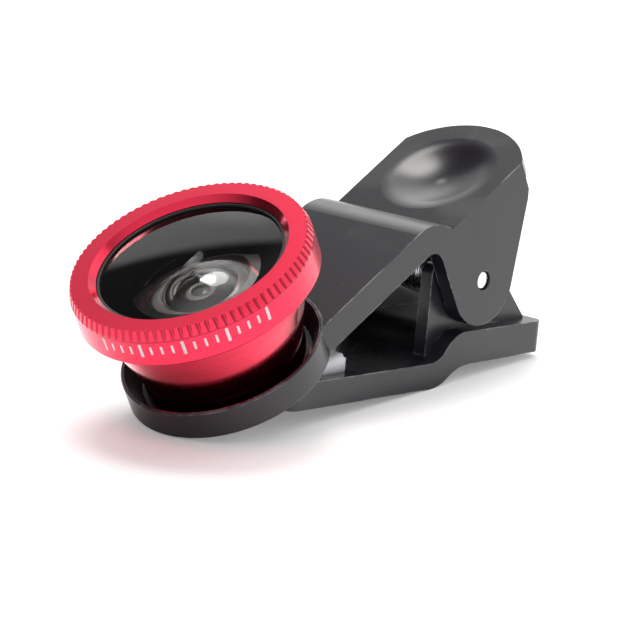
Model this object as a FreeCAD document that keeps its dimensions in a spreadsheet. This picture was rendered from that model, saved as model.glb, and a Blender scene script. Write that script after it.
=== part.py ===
import FreeCAD, Part

import math
import os

import Sketcher
from FreeCAD import Placement, Rotation, Vector

# A clip on fisheye lens for a phone: a sprung plastic clip of two arms on a pin,
# and a turned red lens that screws into the ring at the end of the upper arm.
#
# Two frames of construction share one origin, the middle of the clip ring's underside.
# In the upper arm's frame z runs up the lens axis and x runs back towards the grips.
# The lower arm's frame is that one turned by jaw_angle, so that the lower arm lies along x.
# The whole part is then set down on the ring's front edge and the heel of the lower arm.

os.makedirs("parts", exist_ok=True)

SIZES = {
    # How the arms stand to each other and to the table
    "jaw_angle": (31.23, "angle between the two arms with the jaw closed, in degrees"),
    "rest_tilt": (5.41, "nose up lean of the lower arm as the part stands, in degrees"),
    "shift_back": (-13.72, "from the ring's origin back to the middle of the whole part"),
    "lift_up": (5.28, "height of the ring's origin above the table"),
    # The clip as a whole
    "half_width": (9.18, "half the width of both arms"),
    "pin_back": (34.45, "hinge pin behind the lens axis, in the upper arm's frame"),
    "pin_drop": (9.45, "hinge pin below the ring's underside, in the upper arm's frame"),
    # The upper arm's ring and cup
    "ring_radius": (12.1, "outside of the clip ring"),
    "ring_height": (3.58, "height of the clip ring"),
    "rim_width": (0.4, "flat top of the ring's rim"),
    "cup_floor": (1.0, "floor of the cup above the ring's underside"),
    "cup_foot": (10.2, "radius where the cup's sloping wall meets its floor"),
    "ring_bore": (8.25, "threaded hole for the lens"),
    "pad_groove": (0.35, "depth of the groove that holds the rubber ring"),
    # The upper arm's plate, shoulder, thumb pad and ears
    "plate_top": (3.18, "top of the plate"),
    "plate_under": (0.45, "plate's underside below the ring's underside"),
    "plate_front": (7.6, "where the plate starts, inside the ring's wall"),
    "shoulder_back": (26.3, "middle of the shoulder's curve"),
    "shoulder_radius": (6.63, "outside of the shoulder's curve"),
    "skin": (2.2, "wall of the shoulder and the thumb pad"),
    "thumb_end": (51.05, "rear tip of the thumb pad"),
    "thumb_curve": (10.87, "radius of the thumb pad's rounded end"),
    "ear_radius": (5.55, "rounded foot of each ear about the pin"),
    "ear_wall": (1.9, "thickness of each ear"),
    "ear_corner": (2.0, "inner corner between plate and ear"),
    "ear_back": (46.15, "rear edge of each ear"),
    "ear_heel_back": (45.5, "where the ear's rear edge turns forward"),
    "ear_heel_drop": (4.95, "height of that turn below the thumb pad"),
    "ear_hole": (1.2, "running hole for the pin in each ear"),
    "dish_back": (41.2, "middle of the thumb dish"),
    "dish_radius": (7.4, "outside of the thumb dish"),
    "dish_turn": (5.4, "where the dish's hollow turns into its rounded edge"),
    "dish_mid_depth": (0.32, "depth of the dish at that turn"),
    "dish_depth": (1.2, "depth of the dish in its middle"),
    # The lower arm
    "tip": (0.6, "front end of the lower arm"),
    "jaw_top": (0.35, "top of the lower jaw"),
    "jaw_under": (2.85, "underside of the lower jaw, below the origin"),
    "bend_start": (25.3, "where the lower arm starts to step up"),
    "bend_end": (32.0, "where the step ends"),
    "bend_curve": (4.19, "both curves of the step's upper side"),
    "bend_under_start": (25.6, "where the underside starts to step up"),
    "bend_under_end": (32.8, "where the underside's step ends"),
    "bend_under_curve": (6.0, "both curves of the step's underside"),
    "grip_top": (3.7, "top of the grip"),
    "grip_under": (0.45, "underside of the grip, below the origin"),
    "grip_end": (47.3, "rear end of the grip"),
    "grip_dish_back": (39.4, "middle of the finger dish under the grip"),
    "tip_round": (1.0, "rounded nose of the lower jaw"),
    "corner_round": (1.4, "rounded corners of the lower arm in plan"),
    "lug_gap": (0.28, "gap between each lug and the ear beside it"),
    "lug_wall": (1.7, "thickness of each lug"),
    "lug_front": (27.0, "front edge of the lugs"),
    "lug_nose": (11.9, "height of the lugs' front edge"),
    "lug_nose_round": (1.1, "rounded top corner of the lugs' front edge"),
    "lug_radius": (4.4, "rounded top of the lugs about the pin"),
    "lug_back": (45.8, "rear foot of the lugs"),
    # Pin, spring and pads
    "pin_radius": (1.15, "hinge pin"),
    "pin_recess": (0.3, "how far each end of the pin lies inside the ear's face"),
    "pin_chamfer": (0.18, "chamfer of the pin's ends"),
    "wire_radius": (0.45, "spring wire"),
    "coil_radius": (2.6, "middle of the spring's coil"),
    "coil_pitch": (1.0, "distance from turn to turn"),
    "ring_pad_inner": (8.7, "inside of the rubber ring"),
    "ring_pad_outer": (11.4, "outside of the rubber ring"),
    "ring_pad_proud": (0.25, "how far the rubber ring stands out below the clip ring"),
    "jaw_pad_front": (3.0, "front of the silicone cushion"),
    "jaw_pad_back": (12.7, "back of the silicone cushion"),
    "jaw_pad_low": (0.95, "cushion's top at its front"),
    "jaw_pad_high": (2.65, "cushion's top at its back"),
    "jaw_pad_width": (14.6, "width of the cushion"),
    "jaw_pad_seat": (0.4, "depth of the cushion's seat in the lower jaw"),
    "jaw_pad_round": (0.6, "rounded edges of the cushion"),
    # The lens's shell
    "face_height": (16.97, "front face above the ring's underside"),
    "face_radius": (14.0, "outside of the flat front face"),
    "band_radius": (14.4, "outside of the band"),
    "band_top": (15.88, "where the band narrows to the front face"),
    "band_under": (12.36, "underside of the band"),
    "flute_count": (88, "flutes round the front edge"),
    "flute_radius": (0.3, "round bottom of each flute"),
    "flute_valley": (13.8, "bottom of the flutes at the front face, from the lens axis"),
    "flute_end": (15.65, "where the flutes run out into the band"),
    "bevel_radius": (11.83, "outside of the bevel round the glass"),
    "bevel_depth": (0.75, "depth of that bevel"),
    "glass_bore": (11.13, "bore that holds the front glass"),
    "glass_seat": (13.5, "seat of the front glass"),
    "cell_bore": (9.25, "bore that holds the inner cell"),
    "cell_seat": (8.0, "seat of the inner cell"),
    "rear_bore": (7.2, "bore that holds the rear cell"),
    "cone_top": (12.7, "barrel's radius under the band"),
    "cone_foot": (9.74, "barrel's radius at its foot"),
    "cone_foot_height": (3.45, "height of the barrel's foot"),
    "neck_radius": (9.35, "narrow groove under the barrel"),
    "lip_radius": (9.76, "lip under the groove"),
    "lip_height": (3.12, "top of the lip"),
    "foot_step": (1.05, "height of the lip's seat over the cup's floor"),
    "thread_radius": (8.2, "lens thread, as a plain cylinder"),
    "lens_end": (0.15, "rear end of the lens"),
    # The glass and what holds it
    "glass_play": (0.06, "gap round each glass in its bore"),
    "glass_rim": (15.8, "top of the front glass's rim"),
    "glass_crown": (16.35, "middle of the front glass"),
    "glass_neck": (9.2, "radius of the front glass below its seat"),
    "glass_foot": (10.8, "rear annulus of the front glass"),
    "hollow_radius": (7.4, "mouth of the front glass's hollow back"),
    "hollow_crown": (12.35, "top of that hollow"),
    "retainer_top": (16.12, "top of the front retaining ring"),
    "retainer_inner": (10.82, "inside of the front retaining ring"),
    "retainer_play": (0.08, "thread gap of both retaining rings"),
    "middle_radius": (6.6, "middle glass"),
    "middle_rim": (9.2, "top of the middle glass's rim"),
    "middle_crown": (11.867, "middle of the middle glass's front"),
    "middle_foot": (8.48, "rear annulus of the middle glass"),
    "middle_hollow": (4.2, "mouth of the middle glass's hollow back"),
    "middle_hollow_crown": (10.767, "top of that hollow"),
    "spacer_inner": (6.05, "inside of the middle spacer"),
    "spacer_flange": (8.2, "flange of the middle spacer, under the front glass"),
    "flange_height": (0.6, "height of that flange"),
    "cell_lip": (5.6, "hole below the middle glass"),
    "stop_radius": (5.4, "aperture stop"),
    "stop_hole": (1.3, "hole in the aperture stop"),
    "stop_thickness": (0.2, "aperture stop"),
    "rear_cell_top": (7.6, "top of the rear cell"),
    "rear_glass_radius": (3.6, "rear cemented pair"),
    "rear_glass_top": (7.0, "rim of the rear pair's front"),
    "rear_glass_crown": (7.997, "middle of the rear pair's front"),
    "joint_rim": (5.6, "rim of the cemented face"),
    "joint_crown": (4.07, "lowest point of the cemented face"),
    "rear_glass_foot": (3.2, "flat back of the rear pair"),
    "rear_ring_foot": (2.2, "underside of the rear retaining ring"),
    "rear_ring_inner": (2.9, "inside of the rear retaining ring"),
}

doc = FreeCAD.newDocument("ClipOnLens")
sheet = doc.addObject("Spreadsheet::Sheet", "Sizes")
for row, (alias, (value, meaning)) in enumerate(SIZES.items(), start=1):
    sheet.set(f"A{row}", meaning)
    sheet.set(f"B{row}", str(value))
    sheet.setAlias(f"B{row}", alias)
doc.recompute()


def size(text):
    """The value of a sum of sheet names and numbers, such as "band_top - flute_depth"."""
    total = 0.0
    sign = 1
    for word in text.split():
        if word in ("+", "-"):
            sign = -1 if word == "-" else 1
            continue
        total += sign * (SIZES[word][0] if word in SIZES else float(word))
        sign = 1
    return total


def bound(text):
    """The same sum as an expression that reads the sheet."""
    return " ".join(f"Sizes.{word}" if word in SIZES else word for word in text.split())


class Outline:
    """A closed outline of lines and arcs. A corner or radius given as text is bound to the sheet,
    and one given as a number is a first guess that a tangent joint settles."""

    def __init__(self, x, y):
        self.corners = [(x, y)]
        self.edges = []

    def line(self, x, y, smooth=False):
        self.corners.append((x, y))
        self.edges.append(("line", None, 0, smooth))
        return self

    def arc(self, x, y, radius, side, smooth=False):
        """side is +1 where the arc's middle lies to the left of the way to (x, y), else -1."""
        self.corners.append((x, y))
        self.edges.append(("arc", radius, side, smooth))
        return self

    def dome(self, x, y, side):
        """An arc whose middle lies on the axis that the outline is turned about."""
        self.corners.append((x, y))
        self.edges.append(("dome", None, side, False))
        return self

    def point(self, index):
        x, y = self.corners[index]
        return Vector(
            size(x) if isinstance(x, str) else x, size(y) if isinstance(y, str) else y, 0
        )

    def curve(self, index):
        kind, radius, side, _ = self.edges[index]
        start = self.point(index)
        end = self.point((index + 1) % len(self.corners))
        if kind == "line":
            return Part.LineSegment(start, end)
        chord = end - start
        if kind == "dome":
            reach = chord.Length * chord.Length / (2 * abs(chord.y))
        else:
            reach = size(radius) if isinstance(radius, str) else radius
        reach = max(reach, chord.Length / 2)
        rise = math.sqrt(reach * reach - chord.Length * chord.Length / 4)
        left = Vector(-chord.y, chord.x, 0).normalize()
        middle = (start + end) / 2 + left * (rise * side)
        top = middle - left * (reach * side)
        return Part.Arc(start, top, end)

    def draw(self, sketch, axis=-2):
        """Adds the edges and the constraints that hold them to the sheet."""
        if self.corners[-1] == self.corners[0]:
            self.corners.pop()
        else:
            self.edges.append(("line", None, 0, False))
        count = len(self.corners)
        first = sketch.GeometryCount
        for index in range(count):
            sketch.addGeometry(self.curve(index), False)
        ends = [self.ends(sketch, first + index, index) for index in range(count)]
        for index in range(count):
            before = (index - 1) % count
            kind = "Tangent" if self.edges[index][3] else "Coincident"
            sketch.addConstraint(
                Sketcher.Constraint(
                    kind, first + before, ends[before][1], first + index, ends[index][0]
                )
            )
        for index, (x, y) in enumerate(self.corners):
            self.hold(sketch, "DistanceX", -2, first + index, ends[index][0], x)
            self.hold(sketch, "DistanceY", -1, first + index, ends[index][0], y)
        for index, (kind, radius, _, _) in enumerate(self.edges):
            if kind == "dome":
                sketch.addConstraint(
                    Sketcher.Constraint("PointOnObject", first + index, 3, axis)
                )
            if kind == "arc" and isinstance(radius, str):
                number = sketch.addConstraint(
                    Sketcher.Constraint("Radius", first + index, size(radius))
                )
                sketch.setExpression(f"Constraints[{number}]", bound(radius))

    def ends(self, sketch, geometry, index):
        """Which end of the stored curve is its start: an arc may be kept the other way round."""
        start = self.point(index)
        stored = sketch.getPoint(geometry, 1)
        return (1, 2) if (stored - start).Length < 1e-6 else (2, 1)

    def hold(self, sketch, kind, axis, geometry, end, text):
        if not isinstance(text, str):
            return
        if abs(size(text)) < 1e-9:
            sketch.addConstraint(Sketcher.Constraint("PointOnObject", geometry, end, axis))
            return
        number = sketch.addConstraint(
            Sketcher.Constraint(kind, -1, 1, geometry, end, size(text))
        )
        sketch.setExpression(f"Constraints[{number}]", bound(text))


def new_body(name):
    body = doc.addObject("PartDesign::Body", name)
    body.Label = name
    return body


def new_sketch(body, name, plane="XZ_Plane"):
    sketch = body.newObject("Sketcher::SketchObject", name)
    role = [f for f in body.Origin.OriginFeatures if f.Role == plane][0]
    sketch.AttachmentSupport = [(role, "")]
    sketch.MapMode = "FlatFace"
    return sketch


def drawn(body, name, outline, plane="XZ_Plane"):
    sketch = new_sketch(body, name, plane)
    outline.draw(sketch)
    return sketch


def feature(body, kind, name, profile):
    made = body.newObject(f"PartDesign::{kind}", name)
    made.Profile = profile
    profile.Visibility = False
    return made


def across(body, kind, name, outline, width):
    """A pad or pocket of that width, half on each side of the middle plane."""
    made = feature(body, kind, name, drawn(body, f"{name}Outline", outline))
    made.Midplane = True
    made.setExpression("Length", bound(width))
    return made


def turned(body, kind, name, outline):
    """A revolution or groove about the sketch's upright axis."""
    sketch = drawn(body, f"{name}Outline", outline)
    made = feature(body, kind, name, sketch)
    made.ReferenceAxis = (sketch, ["V_Axis"])
    made.Angle = 360
    return made


def bored(body, name, x, z, radius):
    """A round hole right across, at (x, z)."""
    sketch = new_sketch(body, f"{name}Outline")
    sketch.addGeometry(Part.Circle(Vector(size(x), size(z), 0), Vector(0, 0, 1), size(radius)))
    for kind, text in (("DistanceX", x), ("DistanceY", z)):
        number = sketch.addConstraint(Sketcher.Constraint(kind, -1, 1, 0, 3, size(text)))
        sketch.setExpression(f"Constraints[{number}]", bound(text))
    number = sketch.addConstraint(Sketcher.Constraint("Radius", 0, size(radius)))
    sketch.setExpression(f"Constraints[{number}]", bound(radius))
    made = feature(body, "Pocket", name, sketch)
    made.Midplane = True
    made.setExpression("Length", bound("half_width + half_width + half_width + half_width"))
    return made


def rounded(body, name, base, radius, wanted):
    """Fillets the edges of the base whose middle point passes the test."""
    doc.recompute()
    names = [
        f"Edge{number}"
        for number, edge in enumerate(base.Shape.Edges, start=1)
        if not edge.Degenerated
        and wanted(edge, edge.valueAt((edge.FirstParameter + edge.LastParameter) / 2))
    ]
    made = body.newObject("PartDesign::Fillet", name)
    made.Base = (base, names)
    made.setExpression("Radius", bound(radius))
    return made


def upright(edge):
    return edge.Curve.TypeId == "Part::GeomLine" and abs(edge.Curve.Direction.z) > 0.999


HINGE_TURN = math.radians(size("jaw_angle"))
LOW_PIN_X = math.cos(HINGE_TURN) * size("pin_back") + math.sin(HINGE_TURN) * size("pin_drop")
LOW_PIN_Z = math.sin(HINGE_TURN) * size("pin_back") - math.cos(HINGE_TURN) * size("pin_drop")
UPPER = Placement(
    Vector(size("shift_back"), 0, size("lift_up")),
    Rotation(Vector(0, 1, 0), size("rest_tilt") - size("jaw_angle")),
)
LOWER = Placement(
    Vector(size("shift_back"), 0, size("lift_up")),
    Rotation(Vector(0, 1, 0), size("rest_tilt")),
)


def upper_arm():
    """Moulded in one piece: ring and cup, plate, rounded shoulder, dished thumb pad, two ears."""
    body = new_body("upper_arm")
    skin = (
        Outline("plate_front", "0 - plate_under")
        .line("shoulder_back - 1.1", "0 - plate_under")
        .line("shoulder_back", "plate_top - skin")
        .arc(30.3, "0 - skin", "shoulder_radius - skin", -1)
        .line("thumb_end + 1", "0 - skin")
        .line("thumb_end + 1", "0")
        .line(31.96, "0")
        .arc("shoulder_back", "plate_top", "shoulder_radius", 1)
        .line("plate_front", "plate_top")
    )
    across(body, "Pad", "Skin", skin, "half_width + half_width")
    lean = math.atan2(
        size("pin_drop - ear_heel_drop"), size("ear_heel_back - pin_back")
    ) + math.asin(
        size("ear_radius")
        / math.hypot(size("pin_drop - ear_heel_drop"), size("ear_heel_back - pin_back"))
    )
    ears = (
        Outline("shoulder_back - 1.1", "0 - plate_under")
        .line("pin_back - ear_radius - ear_corner", "0 - plate_under")
        .arc(
            "pin_back - ear_radius",
            "0 - plate_under - ear_corner",
            "ear_corner",
            -1,
        )
        .line("pin_back - ear_radius", "0 - pin_drop")
        .arc(
            size("pin_back") + size("ear_radius") * math.sin(lean),
            -size("pin_drop") - size("ear_radius") * math.cos(lean),
            "ear_radius",
            1,
            smooth=True,
        )
        .line("ear_heel_back", "0 - ear_heel_drop", smooth=True)
        .line("ear_back", "0 - ear_heel_drop + 1.1")
        .line("ear_back", "0 - 0.3")
        .line("shoulder_back + 5.2", "0 - 0.7")
        .line("shoulder_back", "plate_top - 0.3")
        .line("shoulder_back - 1.1", "plate_top - 0.3")
    )
    across(body, "Pad", "Ears", ears, "half_width + half_width")
    bay = (
        Outline("shoulder_back - 1.1", "0 - plate_under")
        .line("shoulder_back", "plate_top - skin")
        .arc(30.3, "0 - skin", "shoulder_radius - skin", -1)
        .line("thumb_end", "0 - skin")
        .line("thumb_end", "0 - pin_drop - ear_radius - 1")
        .line("shoulder_back - 1.1", "0 - pin_drop - ear_radius - 1")
    )
    across(body, "Pocket", "Bay", bay, "half_width + half_width - ear_wall - ear_wall")
    beyond = (
        Outline("thumb_end + 3", "0 - half_width - 3")
        .line("thumb_end + 3", "half_width + 3")
        .line("ear_back + 0.05", "half_width + 3")
        .line("ear_back + 0.05", 9.2)
        .arc("ear_back + 0.05", -9.2, "thumb_curve", -1)
        .line("ear_back + 0.05", "0 - half_width - 3")
    )
    end = feature(body, "Pocket", "ThumbEnd", drawn(body, "ThumbEndOutline", beyond, "XY_Plane"))
    end.Midplane = True
    end.setExpression("Length", bound("skin + skin + 0.4"))
    ring = (
        Outline("ring_bore", "0")
        .line("ring_radius - 0.2", "0")
        .line("ring_radius", "0.2")
        .line("ring_radius", "ring_height - 0.12")
        .line("ring_radius - 0.12", "ring_height")
        .line("ring_radius - rim_width", "ring_height")
        .line("ring_radius - rim_width - 0.2", "ring_height - 0.4")
        .line("cup_foot", "cup_floor")
        .line("ring_bore", "cup_floor")
    )
    turned(body, "Revolution", "Ring", ring)
    cup = (
        Outline("0", "0 - 2")
        .line("ring_radius", "0 - 2")
        .line("ring_radius", "0")
        .line("ring_pad_outer", "0")
        .line("ring_pad_outer", "pad_groove")
        .line("ring_pad_inner", "pad_groove")
        .line("ring_pad_inner", "0")
        .line("ring_bore", "0")
        .line("ring_bore", "cup_floor")
        .line("cup_foot", "cup_floor")
        .line("ring_radius - rim_width - 0.2", "ring_height - 0.4")
        .line("ring_radius - rim_width", "ring_height")
        .line("ring_radius - rim_width", "ring_height + 2")
        .line("0", "ring_height + 2")
    )
    turned(body, "Groove", "Cup", cup)
    bored(body, "PinHole", "pin_back", "0 - pin_drop", "ear_hole")
    thumb_dish(body, "dish_back", "0", 1)
    return body


def thumb_dish(body, middle, level, way):
    """A shallow round hollow with a soft edge, for a finger. way is +1 in a top face, -1 below."""
    sketch = new_sketch(body, "DishOutline")
    mouth = f"{level} + 1" if way > 0 else f"{level} - 1"
    depth = "-" if way > 0 else "+"
    axis = sketch.addGeometry(
        Part.LineSegment(Vector(size(middle), -20, 0), Vector(size(middle), 20, 0)), True
    )
    sketch.addConstraint(Sketcher.Constraint("Vertical", axis))
    number = sketch.addConstraint(Sketcher.Constraint("DistanceX", -1, 1, axis, 1, size(middle)))
    sketch.setExpression(f"Constraints[{number}]", bound(middle))
    (
        Outline(middle, mouth)
        .line(middle, f"{level} {depth} dish_depth")
        .dome(f"{middle} + dish_turn", f"{level} {depth} dish_mid_depth", way)
        .arc(f"{middle} + dish_radius", level, 6.5, -way, smooth=True)
        .line(f"{middle} + dish_radius", mouth)
        .draw(sketch, axis)
    )
    dish = feature(body, "Groove", "Dish", sketch)
    dish.ReferenceAxis = (sketch, ["Axis0"])
    dish.Angle = 360
    return dish


def lower_arm():
    """Moulded in one piece: flat jaw, stepped grip with a finger dish below, two hinge lugs."""
    body = new_body("lower_arm")
    pin_x = f"{LOW_PIN_X:.4f}"
    pin_z = f"{LOW_PIN_Z:.4f}"
    plate = (
        Outline("tip", "0 - jaw_under")
        .line("bend_under_start", "0 - jaw_under")
        .arc(size("bend_under_start") + 3.6, size("0 - jaw_under") + 1.2, "bend_under_curve", 1)
        .arc("bend_under_end", "0 - grip_under", "bend_under_curve", -1, smooth=True)
        .line("grip_end", "0 - grip_under + 0.3")
        .line("grip_end", "grip_top")
        .line("bend_end", "grip_top")
        .arc(size("bend_start") + 3.35, size("jaw_top") + 1.675, "bend_curve", 1)
        .arc("bend_start", "jaw_top", "bend_curve", -1, smooth=True)
        .line("tip + tip_round", "jaw_top")
        .arc("tip", "jaw_top - tip_round", "tip_round", 1)
    )
    across(body, "Pad", "Plate", plate, "half_width + half_width")
    lean = math.radians(48)
    nose = "lug_front + lug_nose_round"
    lugs = (
        Outline("lug_front", "jaw_top - 0.5")
        .line("lug_front", "lug_nose - lug_nose_round")
        .arc(nose, "lug_nose", "lug_nose_round", -1)
        .line(LOW_PIN_X - 1.2, LOW_PIN_Z + size("lug_radius") - 0.1)
        .arc(
            LOW_PIN_X + size("lug_radius") * math.sin(lean),
            LOW_PIN_Z + size("lug_radius") * math.cos(lean),
            "lug_radius",
            -1,
            smooth=True,
        )
        .line("lug_back", "grip_top + 0.25", smooth=True)
        .line("lug_back", "grip_top - 0.8")
        .line("bend_end", "grip_top - 0.8")
        .line("bend_start + 3.4", "jaw_top - 0.5")
    )
    sketch = drawn(body, "LugsOutline", lugs)
    for kind, text in (("DistanceX", pin_x), ("DistanceY", pin_z)):
        sketch.addConstraint(Sketcher.Constraint(kind, -1, 1, 3, 3, float(text)))
    pad = feature(body, "Pad", "Lugs", sketch)
    pad.Midplane = True
    pad.setExpression("Length", bound("half_width + half_width - ear_wall - ear_wall - lug_gap - lug_gap"))
    between = (
        Outline("bend_start", "jaw_top")
        .arc(size("bend_start") + 3.35, size("jaw_top") + 1.675, "bend_curve", 1)
        .arc("bend_end", "grip_top", "bend_curve", -1, smooth=True)
        .line("grip_end", "grip_top")
        .line("grip_end", "grip_top + 13")
        .line("bend_start", "grip_top + 13")
    )
    gap = "half_width + half_width - ear_wall - ear_wall - lug_gap - lug_gap - lug_wall - lug_wall"
    across(body, "Pocket", "BetweenLugs", between, gap)
    seat = (
        Outline("jaw_pad_front", "jaw_top - jaw_pad_seat")
        .line("jaw_pad_back", "jaw_top - jaw_pad_seat")
        .line("jaw_pad_back", "jaw_top + 1")
        .line("jaw_pad_front", "jaw_top + 1")
    )
    across(body, "Pocket", "PadSeat", seat, "jaw_pad_width")
    bored(body, "PinHole", pin_x, pin_z, "pin_radius")
    thumb_dish(body, "grip_dish_back", "0 - grip_under + 0.1", -1)
    plan = new_sketch(body, "CornersOutline", "XY_Plane")
    for end, inward, outward, way in (("tip", "+", "-", 1), ("grip_end", "-", "+", -1)):
        for near, far, side in (("-", "+", 1), ("+", "-", -1)):
            edge = f"0 {near} half_width"
            (
                Outline(end, f"{edge} {far} corner_round")
                .arc(f"{end} {inward} corner_round", edge, "corner_round", side * way)
                .line(f"{end} {inward} corner_round", f"{edge} {near} 1")
                .line(f"{end} {outward} 1", f"{edge} {near} 1")
                .line(f"{end} {outward} 1", f"{edge} {far} corner_round")
                .draw(plan)
            )
    corners = feature(body, "Pocket", "Corners", plan)
    corners.Midplane = True
    corners.setExpression("Length", bound("half_width + half_width"))
    return body


def hinge_pin():
    """A plain steel pin, pressed into the lugs and running in the ears."""
    body = new_body("hinge_pin")
    half = "half_width - pin_recess"
    outline = (
        Outline("0", "pin_recess - half_width")
        .line("pin_radius - pin_chamfer", "pin_recess - half_width")
        .line("pin_radius", "pin_recess - half_width + pin_chamfer")
        .line("pin_radius", f"{half} - pin_chamfer")
        .line("pin_radius - pin_chamfer", half)
        .line("0", half)
    )
    turned(body, "Revolution", "Turned", outline)
    return body


def ring_pad():
    """A flat rubber ring in the groove under the clip ring, against the back of a phone."""
    body = new_body("ring_pad")
    outline = (
        Outline("ring_pad_inner", "0 - ring_pad_proud")
        .line("ring_pad_outer", "0 - ring_pad_proud")
        .line("ring_pad_outer", "pad_groove")
        .line("ring_pad_inner", "pad_groove")
    )
    turned(body, "Revolution", "Turned", outline)
    return body


def jaw_pad():
    """A wedge of soft silicone on the lower jaw, so that the jaws hold a phone flat."""
    body = new_body("jaw_pad")
    outline = (
        Outline("jaw_pad_front", "jaw_top - jaw_pad_seat")
        .line("jaw_pad_back", "jaw_top - jaw_pad_seat")
        .line("jaw_pad_back", "jaw_pad_high")
        .line("jaw_pad_front", "jaw_pad_low")
    )
    wedge = across(body, "Pad", "Wedge", outline, "jaw_pad_width")
    rounded(
        body,
        "Soft",
        wedge,
        "jaw_pad_round",
        lambda edge, at: at.z > size("jaw_top") and not upright(edge),
    )
    return body


def torsion_spring():
    """Four and a quarter turns of wire round the pin, with one leg under the thumb pad and one on
    the grip. Its shape is the closed jaw's."""
    reach = size("coil_radius")
    wire = size("wire_radius")
    pin = Vector(LOW_PIN_X, 0, LOW_PIN_Z)
    clear = wire + 0.03
    low_foot = Vector(42.4, 0, size("grip_top") + clear) - pin
    rise = Rotation(Vector(0, 1, 0), -size("jaw_angle"))
    high_foot = rise.multVec(Vector(43.0, 0, -size("skin") - clear)) - pin
    leave_low = math.atan2(low_foot.z, low_foot.x) - math.acos(reach / low_foot.Length)
    leave_high = math.atan2(high_foot.z, high_foot.x) + math.acos(reach / high_foot.Length)
    sweep = leave_low - leave_high + 2 * math.pi * 5
    turns = sweep / (2 * math.pi)
    length = turns * size("coil_pitch")
    helix = Part.makeHelix(size("coil_pitch"), length, reach)
    # The helix climbs z anticlockwise: it is laid along the pin and turned to the lower leg
    lay = Rotation(Vector(1, 0, 0), 90)
    helix.Placement = Placement(Vector(0, length / 2, 0), lay)
    helix.rotate(Vector(0, 0, 0), Vector(0, 1, 0), -math.degrees(leave_low))
    start = helix.Edges[0].valueAt(helix.Edges[0].FirstParameter)
    way = helix.Edges[0].tangentAt(helix.Edges[0].FirstParameter)
    section = Part.Wire([Part.makeCircle(wire, start, way)])
    coil = Part.Wire(helix.Edges).makePipeShell([section], True, True)
    low_y = start.y
    high_y = -start.y
    shape = coil
    for angle, foot, side in ((leave_low, low_foot, low_y), (leave_high, high_foot, high_y)):
        root = Vector(reach * math.cos(angle), side, reach * math.sin(angle))
        tip = Vector(foot.x, side, foot.z)
        leg = Part.makeCylinder(wire, (tip - root).Length, root, tip - root)
        shape = shape.fuse(leg).fuse(Part.makeSphere(wire, tip)).fuse(Part.makeSphere(wire, root))
    shape = shape.removeSplitter()
    made = doc.addObject("Part::Feature", "torsion_spring")
    made.Label = "torsion_spring"
    made.Shape = shape.Solids[0]
    return made, Placement(pin, Rotation())


def lens_shell():
    """Turned from one piece of red anodised aluminium: fluted front edge, band, tapered barrel."""
    body = new_body("lens_shell")
    outline = (
        Outline("rear_bore", "lens_end")
        .line("thread_radius - 0.2", "lens_end")
        .line("thread_radius", "lens_end + 0.2")
        .line("thread_radius", "foot_step")
        .line("lip_radius - 0.15", "foot_step")
        .line("lip_radius", "foot_step + 0.15")
        .line("lip_radius", "lip_height")
        .line("neck_radius", "lip_height")
        .line("neck_radius", "cone_foot_height - 0.1")
        .line("cone_foot - 0.08", "cone_foot_height - 0.1")
        .line("cone_foot", "cone_foot_height")
        .line("cone_top", "band_under")
        .line("band_radius - 0.2", "band_under")
        .line("band_radius", "band_under + 0.2")
        .line("band_radius", "band_top")
        .line("face_radius", "face_height")
        .line("bevel_radius", "face_height")
        .line("glass_bore", "face_height - bevel_depth")
        .line("glass_bore", "glass_seat")
        .line("cell_bore", "glass_seat")
        .line("cell_bore", "cell_seat")
        .line("rear_bore", "cell_seat")
    )
    turned(body, "Revolution", "Turned", outline)
    sketch = new_sketch(body, "FluteOutline", "XY_Plane")
    sketch.AttachmentOffset = Placement(Vector(0, 0, size("face_height")), Rotation())
    sketch.setExpression("AttachmentOffset.Base.z", bound("face_height"))
    inner = "flute_valley + flute_radius"
    (
        Outline("band_radius + 1", "0 - flute_radius")
        .line(inner, "0 - flute_radius")
        .arc(inner, "flute_radius", 0.3, -1, smooth=True)
        .line("band_radius + 1", "flute_radius")
        .draw(sketch)
    )
    flute = feature(body, "Pocket", "Flute", sketch)
    flute.UseCustomVector = True
    flute.Direction = Vector(
        size("band_radius - flute_valley"), 0, -size("face_height - flute_end")
    )
    flute.setExpression("Length", bound("face_height - flute_end + 0.3"))
    doc.recompute()
    ring = body.newObject("PartDesign::PolarPattern", "Flutes")
    ring.Originals = [flute]
    ring.Axis = (sketch, ["N_Axis"])
    ring.Angle = 360
    ring.setExpression("Occurrences", bound("flute_count"))
    body.Tip = ring
    return body


def turned_piece(name, outline):
    body = new_body(name)
    turned(body, "Revolution", "Turned", outline)
    return body


def front_retaining_ring():
    return turned_piece(
        "front_retaining_ring",
        Outline("retainer_inner", "glass_rim + 0.05")
        .line("glass_bore - retainer_play", "glass_rim + 0.02")
        .line("glass_bore - retainer_play", "retainer_top")
        .line("retainer_inner + 0.1", "retainer_top")
        .line("retainer_inner", "retainer_top - 0.1"),
    )


def front_element():
    """The big front glass, a meniscus with a deep hollow back."""
    return turned_piece(
        "front_element",
        Outline("0", "hollow_crown")
        .line("0", "glass_crown")
        .dome("glass_bore - glass_play", "glass_rim", -1)
        .line("glass_bore - glass_play", "glass_seat")
        .line("glass_neck", "glass_seat")
        .line("glass_neck", "glass_foot")
        .line("hollow_radius", "glass_foot")
        .dome("0", "hollow_crown", 1),
    )


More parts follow.
